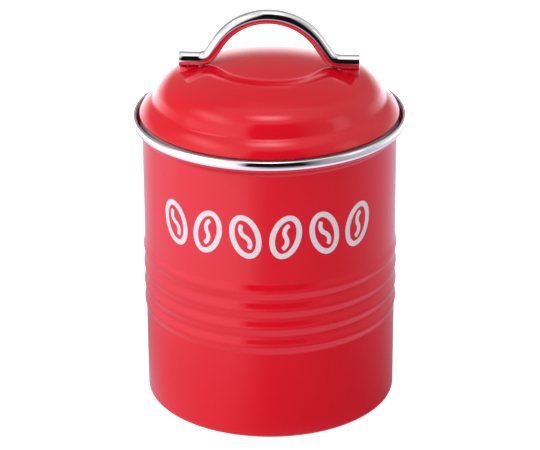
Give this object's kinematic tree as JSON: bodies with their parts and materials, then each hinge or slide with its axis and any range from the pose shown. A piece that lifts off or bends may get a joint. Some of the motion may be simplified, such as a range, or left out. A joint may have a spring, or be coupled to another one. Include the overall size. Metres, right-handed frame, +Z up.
{
  "type": "storage canister",
  "caption": "Round enamelled steel storage canister with rolled beads, a bright rim ring and a lift-off domed lid with an arched handle.",
  "frame": {"origin": "centre of the base, on the surface that the canister stands on", "axes": "+Z up through the lid; the handle runs along X when the lid is as drawn; the printed front faces -Y"},
  "size_m": [0.113, 0.113, 0.1681],
  "materials": {
    "enamel": "glossy red enamel with a faint ripple",
    "enamel_inner": "the same red enamel, slightly duller on the inner pressings",
    "print_white": "white screen print on the enamel, semi-gloss",
    "plated": "bright plating",
    "silicone": "translucent grey silicone, satin",
    "screw_steel": "bright zinc-plated steel"
  },
  "bodies": {
    "canister": {"canister_wall": "enamel", "base_pan": "enamel_inner", "rim_ring": "plated"},
    "lid": {"lid_shell": "enamel", "lid_collar": "enamel_inner", "lid_seal": "silicone", "handle_bar": "plated", "handle_spacer_left": "enamel", "handle_spacer_right": "enamel", "screw_seal_left": "silicone", "screw_seal_right": "silicone", "handle_screw_left": "screw_steel", "handle_screw_right": "screw_steel"}
  },
  "joints": [
    {"name": "lid_lift", "type": "slide", "parent": "canister", "child": "lid", "axis": [0, 0, 1], "range_m": [0, 0.06]}
  ]
}
